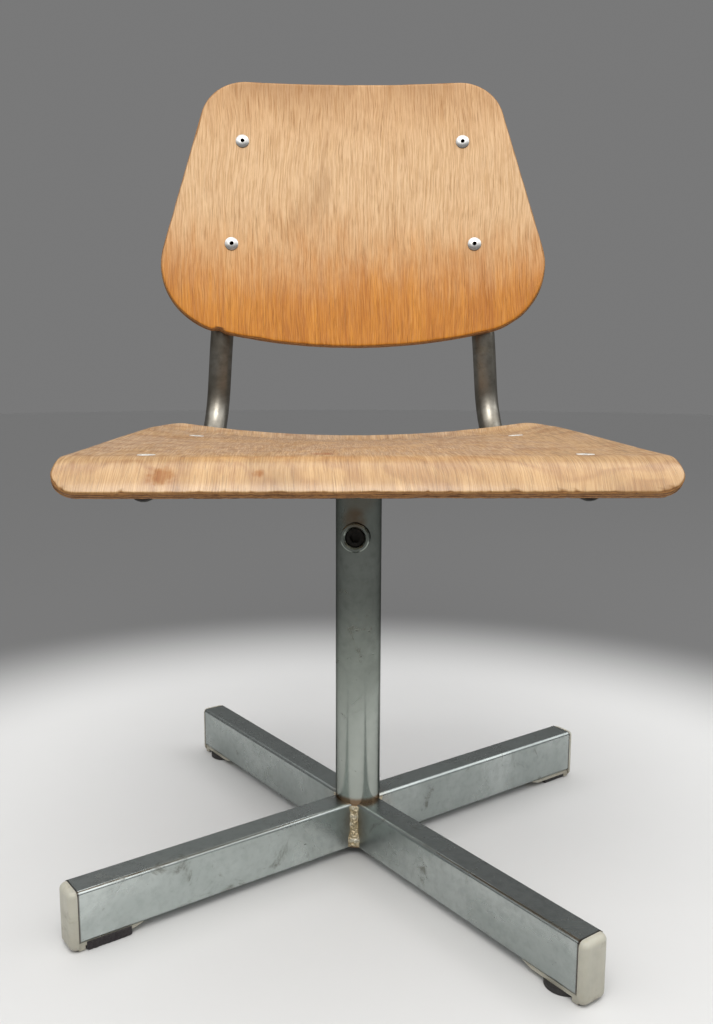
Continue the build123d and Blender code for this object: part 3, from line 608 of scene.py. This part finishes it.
# ---- plywood ---------------------------------------------------------------------------------
def seat_height(x, y):
    """Height of the seat's top face behind the front roll, in millimetres."""
    share = max(0.0, (y - ROLL_START_Y) / (SEAT_REAR_Y - ROLL_START_Y)) ** 2
    height = SEAT_FRONT_Z - SEAT_FALL * (y - FRONT_RIVET_Y)
    height += DISH_DEPTH * share * ((x / DISH_HALF_WIDTH) ** 2 - 1)
    if y > KICK_START_Y:
        height += KICK_RADIUS - sqrt(KICK_RADIUS**2 - (y - KICK_START_Y) ** 2)
    return height


def seat_surface(x, v):
    """Point and downward step on the seat, v millimetres behind the start of the front roll."""
    start = -atan(SEAT_FALL)
    if v < 0:
        angle = start - v / ROLL_RADIUS
        y = ROLL_START_Y - ROLL_RADIUS * (sin(angle) - sin(start))
        z = seat_height(x, ROLL_START_Y) + ROLL_RADIUS * (cos(angle) - cos(start))
        return Vector((x, y, z)), Vector((0, sin(angle), -cos(angle)))
    y = ROLL_START_Y + v
    step = 0.5
    rise = (seat_height(x, y + step) - seat_height(x, y - step)) / (2 * step)
    return Vector((x, y, seat_height(x, y))), Vector((0, 0, -hypot(rise, 1)))


def back_surface(x, height):
    """Point and step through the sheet on the back's hollow front face."""
    depth = BACK_RADIUS - sqrt(BACK_RADIUS**2 - x**2)
    up = Vector((0, sin(BACK_LEAN), cos(BACK_LEAN)))
    out = Vector((0, -cos(BACK_LEAN), sin(BACK_LEAN)))
    point = BACK_MIDDLE + Vector((x, 0, 0)) + up * height + out * depth
    return point, Vector((x, 0, 0)) / BACK_RADIUS - out * (1 - depth / BACK_RADIUS)


def ragged(x, y, depth, scale, level):
    """Small irregular wear of a plywood rim, never outwards."""
    value = noise.noise(Vector((x * scale, y * scale, depth * 0.45)))
    return level * max(0.0, value - 0.05)


def seat_chip(x, v, depth):
    """Wear of the seat's rim, with splinters torn out of the front roll's edge."""
    wear = 0.12 + ragged(x, v, depth, 0.06, 0.9)
    front = min(1.0, max(0.0, (8.0 - v) / 30.0))
    torn = noise.noise(Vector((x * 0.23, 7.3, depth * 0.6)))
    wear += front * 1.3 * max(0.0, torn - 0.12)
    return wear


def back_chip(x, height, depth):
    """Wear of the back's rim, with one dent in its lower left edge."""
    wear = 0.1 + ragged(x, height, depth, 0.05, 0.7)
    notch = hypot(x + 128.0, height + 88.0)
    return wear + 2.4 * max(0.0, 1.0 - notch / 7.0)


def seat_outline():
    """Path round the seat laid flat: a trapezium with round corners and bowed sides."""
    front = -ROLL_RADIUS * (ROLL_END + atan(SEAT_FALL))
    rear = SEAT_REAR_Y - ROLL_START_Y
    straight = rounded_corners([
        (-SEAT_FRONT_HALF, front, SEAT_FRONT_CORNER),
        (SEAT_FRONT_HALF, front, SEAT_FRONT_CORNER),
        (SEAT_REAR_HALF, rear, SEAT_REAR_CORNER),
        (-SEAT_REAR_HALF, rear, SEAT_REAR_CORNER),
    ])
    dense, _ = even_loop(straight, 800)
    bowed = []
    for spot in dense:
        bow = SEAT_SIDE_BULGE * sin(pi * min(1.0, max(0.0, (spot.y - front) / (rear - front))))
        bowed.append(Vector((spot.x + bow * spot.x / SEAT_FRONT_HALF, spot.y)))
    return bowed


def back_outline():
    """Anticlockwise path: shallow bottom arc, round lower corner, straight side, top corner."""
    arc_middle = Vector((0, BACK_BOTTOM + BACK_BOTTOM_RADIUS))
    foot_height = arc_middle.y - sqrt(BACK_BOTTOM_RADIUS**2 - BACK_BOTTOM_HALF**2)
    foot = Vector((BACK_BOTTOM_HALF, foot_height))
    head = Vector((BACK_TOP_HALF, BACK_TOP))
    up = (head - foot).normalized()
    inward = Vector((-up.y, up.x))
    # The lower corner's centre is one radius in from the side and from the bottom arc.
    start = foot + inward * BACK_BOTTOM_CORNER - arc_middle
    along = start.dot(up)
    reach = (BACK_BOTTOM_RADIUS - BACK_BOTTOM_CORNER) ** 2 - start.length_squared
    candidates = [start + arc_middle + up * (sign * sqrt(along**2 + reach) - along)
                  for sign in (1, -1)]
    low = min(candidates, key=lambda c: (c - foot).length)
    out_of_arc = atan2(low.y - arc_middle.y, low.x - arc_middle.x)
    side_angle = atan2(-inward.y, -inward.x)
    top_centre_y = BACK_TOP - BACK_TOP_CORNER
    side_point = foot + inward * BACK_TOP_CORNER
    high = side_point + up * (top_centre_y - side_point.y) / up.y
    path = arc_points(arc_middle, BACK_BOTTOM_RADIUS, -pi / 2, out_of_arc + pi / 2)
    path += arc_points(low, BACK_BOTTOM_CORNER, out_of_arc, side_angle - out_of_arc)
    path += arc_points(high, BACK_TOP_CORNER, side_angle, pi / 2 - side_angle)
    return path + [Vector((-p.x, p.y)) for p in reversed(path)][:-1]


def cut_cylinders(shell, cylinders):
    """Cuts cylinders out of a shell: each a point on its axis, the axis, a radius, two depths."""
    cutters = bmesh.new()
    for point, axis, radius, below, above in cylinders:
        centre = point + axis * (above - below) / 2
        tilt = axis.to_track_quat("Z", "Y").to_matrix().to_4x4()
        bmesh.ops.create_cone(
            cutters, cap_ends=True, segments=72, radius1=radius * MM, radius2=radius * MM,
            depth=(above + below) * MM, matrix=Matrix.Translation(centre * MM) @ tilt,
        )
    mesh = bpy.data.meshes.new("cutter")
    cutters.to_mesh(mesh)
    cutters.free()
    cutter = in_scene("cutter", mesh)
    cut = shell.modifiers.new("cut", "BOOLEAN")
    cut.operation = "DIFFERENCE"
    cut.solver = "EXACT"
    cut.object = cutter
    bpy.context.view_layer.update()
    evaluated = shell.evaluated_get(bpy.context.evaluated_depsgraph_get())
    result = bpy.data.meshes.new_from_object(evaluated)
    shell.modifiers.clear()
    shell.data = result
    bpy.data.objects.remove(cutter)
    result.set_sharp_from_angle(angle=radians(SMOOTH_ANGLE))


def seat_rivet_spots():
    """Point and upward normal on the seat's top face at each of its four rivets."""
    spots = []
    for y in (FRONT_RIVET_Y, REAR_RIVET_Y):
        for side in (1, -1):
            x = side * (RIVET_LINE_X - TUBE_SPLAY * (y - FRONT_RIVET_Y))
            rise = seat_height(x + 0.5, y) - seat_height(x - 0.5, y)
            normal = Vector((-rise, SEAT_FALL, 1)).normalized()
            spots.append((Vector((x, y, seat_height(x, y))), normal))
    return spots


def drill_seat(shell):
    """Rivet holes through the seat, then the shallow recesses the flush heads sit in."""
    spots = seat_rivet_spots()
    for radius, below, above in ((HOLE_RADIUS, 2 * PLY, 2), (RECESS_RADIUS, RECESS_DEPTH, 4)):
        cut_cylinders(shell, [(*spot, radius, below, above) for spot in spots])


def drill_back(shell):
    """Rivet holes through the back."""
    holes = []
    for x, height in BACK_RIVETS:
        for side in (1, -1):
            point, inwards = back_surface(side * x, height)
            holes.append((point, -inwards.normalized(), HOLE_RADIUS, 2 * PLY, 4))
    cut_cylinders(shell, holes)


# ---- weld beads and felt ------------------------------------------------------------------------
def weld_beads(material):
    """Rippled bead in each notch between two arms: narrow at mid height, lumpy at both ends."""
    low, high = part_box("arm_welds")
    bottom, top = low.z / MM + 0.2, high.z / MM - 0.2
    tip = ARM_WIDTH / 2 * sqrt(2)
    narrow, foot_spread, head_spread = 3.6, 2.9, 2.2
    ripple_pitch, furthest = 1.9, 25.1
    levels, across = 120, 24
    vertices, faces = [], []
    for k, angle in enumerate(ARM_ANGLES):
        turn = Matrix.Rotation(radians(angle + 45), 3, "Z")
        grid = []
        for i in range(levels + 1):
            share = i / levels
            z = bottom + (top - bottom) * share
            ends = min(1.0, 4.5 * min(share, 1 - share)) ** 0.6
            foot = max(0.0, 1 - share / 0.4)
            head = max(0.0, 1 - (1 - share) / 0.16) ** 1.5
            half = narrow + 0.8 * noise.noise(Vector((k * 5.7, z * 0.2, 4)))
            half = half + foot_spread * foot + head_spread * head
            half *= 0.7 + 0.3 * ends
            wander = 0.9 * noise.noise(Vector((k * 3.1, z * 0.09, 0)))
            ripple = ((z + 0.5 * noise.noise(Vector((z * 0.2, k, 0)))) / ripple_pitch) % 1.0
            row = []
            for j in range(across + 1):
                side = 2 * j / across - 1
                rise = 1 - side * side
                lateral = side * half + wander * rise
                crown = 0.9 * rise + 0.3 * (ripple - 0.5) * (1 - abs(side) ** 3)
                lump = 1.3 * noise.noise(Vector((lateral * 0.55, z * 0.5, k * 9.0)))
                reach = tip + half + (crown + lump) * rise**0.5 - 0.5 - 1.2 * (1 - ends)
                reach = min(furthest, max(reach, tip + abs(lateral) + 0.1))
                row.append(len(vertices))
                vertices.append(turn @ Vector((reach, lateral, z)) * MM)
            row.append(len(vertices))
            vertices.append(turn @ Vector((tip - 0.5, 0, z)) * MM)
            grid.append(row)
        faces += wrap(grid)
        faces.append(tuple(grid[0]))
        faces.append(tuple(reversed(grid[-1])))
    return mesh_object("weld_beads", vertices, faces, material, 60.0)


def felt_pad(material):
    """Matted felt block with frayed sides: a lumpy slab and loose fibres round its lower edge."""
    low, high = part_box("floor_pad_front_left")
    thick = high.z
    centre = Vector(((low.x + high.x) / 2, (low.y + high.y) / 2, 0))
    turn = Matrix.Rotation(radians(ARM_ANGLES[3]), 3, "Z")
    length, width, corner = 0.0352, 0.0244, 1.6
    samples, fibres = 200, 420
    quadrants = [(-1, -1), (1, -1), (1, 1), (-1, 1)]
    outline, normals = even_loop(rounded_corners(
        [(x * length / 2 / MM, y * width / 2 / MM, corner) for x, y in quadrants]), samples)
    outline = [spot * MM for spot in outline]
    vertices, rows = [], []
    profile = [(0.5, 0.0), (0.85, 0.0), (0.97, 0.0002), (1.0, 0.0009), (1.0, 0.002), (1.0, 0.0031),
               (0.985, thick - 0.0001), (0.5, thick - 0.0001)]
    for share, z in profile:
        row = []
        for spot, normal in zip(outline, normals):
            p = spot * share
            fray = 0.0005 * noise.noise(Vector((p.x, p.y, z)) * 420.0)
            fray += 0.0004 * noise.noise(Vector((p.x, p.y, z)) * 1300.0)
            p = p + normal * min(0.0003, fray - 0.0002)
            row.append(len(vertices))
            vertices.append(centre + turn @ Vector((p.x, p.y, z)))
        rows.append(row)
    faces = wrap(rows)
    faces.append(tuple(rows[0][::-1]))
    faces.append(tuple(rows[-1]))
    rng = Random(11)
    for _ in range(fibres):
        k = rng.randrange(samples)
        z = rng.uniform(0.0003, thick * 0.8)
        root = outline[k] - normals[k] * 0.0008
        tipward = normals[k] * rng.uniform(0.0003, 0.0012)
        tipward += Vector((rng.uniform(-1, 1), rng.uniform(-1, 1))) * 0.0007
        tip_z = max(0.0001, z + rng.uniform(-0.0012, 0.0006))
        along = Vector((-normals[k].y, normals[k].x)) * 0.00009
        base = len(vertices)
        for flat, height in ((root + along, z), (root - along, z), (root, z + 0.00014),
                             (root + tipward, tip_z)):
            vertices.append(centre + turn @ Vector((flat.x, flat.y, height)))
        faces += [(base, base + 1, base + 3), (base + 1, base + 2, base + 3),
                  (base + 2, base, base + 3), (base, base + 2, base + 1)]
    return mesh_object("felt_pad", vertices, faces, material, 70.0)


# ---- camera, light, floor --------------------------------------------------------------------
def add_camera():
    """Eye a little above the seat, looking slightly down at the chair from close in front."""
    data = bpy.data.cameras.new("camera")
    data.lens = LENS
    data.sensor_width = 36.0
    data.shift_x, data.shift_y = SHIFT
    camera = in_scene("camera", data)
    aim = Euler((radians(90 - EYE_DIP), 0, radians(EYE_TURN))).to_matrix().to_4x4()
    camera.matrix_world = Matrix.Translation(EYE) @ aim
    bpy.context.scene.camera = camera


def add_area(name, place, target, size, energy, color):
    data = bpy.data.lights.new(name, "AREA")
    data.size = size
    data.energy = energy
    data.color = color
    light = in_scene(name, data)
    light.location = place
    light.rotation_euler = (Vector(target) - Vector(place)).to_track_quat("-Z", "Y").to_euler()


def add_world():
    """Soft dome that lights the chair: bright overhead and high in front, mid grey elsewhere.

    The camera sees an even mid grey backdrop in its place, from every side.
    """
    world = bpy.data.worlds.new("studio")
    bpy.context.scene.world = world
    world.use_nodes = True
    w = Nodes(world.node_tree, "Generated")
    overhead = w.span(w.axis("Z"), 0.1, 0.8, 0.09, 1.6)
    towards_front = w.span(w.axis("Y"), -0.1, 0.3, 1.0, 0.0)
    near_top = w.span(w.axis("Z"), 0.62, 0.8)
    dome = w.math("MULTIPLY", overhead, w.math("MAXIMUM", towards_front, near_top))
    dome = w.math("MAXIMUM", dome, BACKDROP)
    seen = w.node("ShaderNodeMix")
    w.feed(seen.inputs[0], w.node("ShaderNodeLightPath").outputs["Is Camera Ray"])
    w.feed(seen.inputs[2], dome)
    w.feed(seen.inputs[3], BACKDROP)
    background = w.tree.nodes["Background"]
    w.feed(background.inputs["Color"], seen.outputs[0])
    background.inputs["Strength"].default_value = 1.0


def add_floor():
    """Large round floor, pale by the chair and dark grey further out: a painted pool of light."""
    s = Shader("studio_floor", Roughness=0.55)
    fade = s.span(s.vectors("LENGTH", s.place).outputs["Value"], *FLOOR_LIGHT_FALLOFF)
    speckle = s.span(s.noise(40.0, 5.0), 0.3, 0.7, 0.0, 0.04)
    color = s.mix(speckle, (0.64, 0.64, 0.635), (0.57, 0.57, 0.565))
    material = s.set(Base_Color=s.mix(fade, color, (0.13, 0.13, 0.13)))
    angles = [tau * k / 128 for k in range(128)]
    ring = [(FLOOR_RADIUS * cos(a), FLOOR_RADIUS * sin(a), 0) for a in angles]
    floor = mesh_object("floor", ring, [tuple(range(len(ring)))], material)


# ---- making ------------------------------------------------------------------------------------
bpy.context.scene.view_settings.view_transform = "Standard"
add_camera()
add_world()
add_area("key", place=(-0.15, -1.15, 2.1), target=(0, 0, 0.35), size=1.25, energy=21.0,
         color=(1.0, 0.985, 0.96))
add_area("fill", place=(1.6, 0.4, 1.6), target=(0, 0, 0.3), size=1.6, energy=7.0,
         color=(0.97, 0.985, 1.0))
add_floor()

# Heat marks: on the column above the clamp's boss, and where the four arms meet it.
BOSS_MARKS = [((-0.0045, -0.019, 0.291), 0.013, 0.8), ((0.0, -0.019, 0.31), 0.02, 0.35)]
JOINT_MARKS = [((0.0, 0.0, 0.03), 0.038, 0.5)]
column_steel = plated_steel(
    "column_plating", (0.36, 0.39, 0.355), (0.24, 0.265, 0.235), 0.16, edge=0.35,
    marks=BOSS_MARKS, foot=0.0485,
)
tube_steel = plated_steel(
    "tube_plating", (0.37, 0.35, 0.305), (0.17, 0.15, 0.12), 0.33, blotch=16.0
)
plain_steel = bright_metal("drawn_steel", (0.6, 0.6, 0.6), 0.3)
back_rivet_steel = bright_metal("rivet_plating", (0.82, 0.81, 0.78), 0.3, bore_shade=behind_back_face)
seat_rivet_steel = bright_metal("flush_rivet_plating", (0.95, 0.93, 0.88), 0.78)
black_steel = bright_metal("blackened_steel", (0.035, 0.033, 0.03), 0.42)
brass = bright_metal("turned_brass", (0.78, 0.6, 0.26), 0.28)
weld = weld_metal()
ivory = moulded_plastic(
    "ivory_plastic", (0.47, 0.455, 0.38), (0.2, 0.17, 0.12), 0.42, glow=0.15
)
black_plastic = moulded_plastic("black_plastic", (0.018, 0.018, 0.018), (0.07, 0.06, 0.05), 0.45)
rubber = moulded_plastic("black_rubber", (0.014, 0.013, 0.013), (0.06, 0.055, 0.05), 0.68)

FINISHES = {
    "column_tube": column_steel, "clamp_boss": column_steel, "guide_sleeve": plain_steel,
    "clamp_pad": brass, "clamp_screw": black_steel, "post_tube": plain_steel,
    "post_foot_bush": black_plastic, "spindle_bush_upper": black_plastic,
    "spindle_bush_lower": black_plastic, "swivel_spindle": plain_steel,
    "spindle_circlip": black_steel, "thrust_washer": plain_steel, "swivel_plate": tube_steel,
    "cross_bar_front": tube_steel, "cross_bar_rear": tube_steel, "frame_welds": weld,
    "side_tube_left": tube_steel, "side_tube_right": tube_steel,
    "tube_plug_front_left": black_plastic, "tube_plug_front_right": black_plastic,
    "tube_plug_top_left": black_plastic, "tube_plug_top_right": black_plastic,
    "seat_rivets": seat_rivet_steel, "back_rivets": back_rivet_steel,
    "floor_pad_front_right": rubber, "floor_pad_rear_right": rubber, "floor_pad_rear_left": rubber,
}
# Each arm's plating is drawn brighter or darker by its level: painted light and shade.
for arm, level in zip(ARMS, ARM_PAINTED_LIGHT):
    FINISHES[f"arm_{arm}"] = plated_steel(
        f"{arm}_plating", scaled(ARM_LIGHT, level), scaled(ARM_DARK, level), 0.25,
        marks=JOINT_MARKS, end_reach=ARM_REACH * MM,
    )
    FINISHES[f"end_cap_{arm}"] = ivory
for node, material in FINISHES.items():
    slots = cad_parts[node].data.materials
    slots.clear()
    slots.append(material)

# Red-brown marks: on the roll's left end, on the flat behind it, and a small one on the roll.
STAINS = [((-0.1345, -0.1695, 0.3465), 0.0135), ((-0.03, -0.126, 0.3565), 0.013),
          ((-0.072, -0.168, 0.3475), 0.006)]
# The seat's worn colour is partly real wear and partly painted shade: darker and greyer, for the
# dim flat top.
seat_wood = plywood(
    "seat_veneer", light=(0.61, 0.375, 0.155), deep=(0.47, 0.265, 0.092),
    flake=(0.73, 0.52, 0.31), wear=(0.38, 0.254, 0.158), wear_field=seat_wear_and_shade,
    sheen=1.0, figure=0.45, stains=STAINS,
)
back_wood = plywood(
    "back_veneer", light=(0.68, 0.275, 0.026), deep=(0.54, 0.195, 0.014),
    flake=(0.88, 0.6, 0.32), wear=(0.79, 0.53, 0.3), wear_field=back_wear,
    sheen=0.1, figure=0.1,
)

seat = ply_shell("seat_shell", seat_outline(), seat_surface, seat_wood, seat_chip)
drill_seat(seat)
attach(seat, "seat")
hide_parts("seat_panel")

back = ply_shell("back_shell", back_outline(), back_surface, back_wood, back_chip)
drill_back(back)
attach(back, "seat")
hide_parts("back_panel")

beads = weld_beads(weld)
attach(beads, "base")
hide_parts("arm_welds")

pad = felt_pad(felt_fabric())
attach(pad, "base")
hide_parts("floor_pad_front_left")
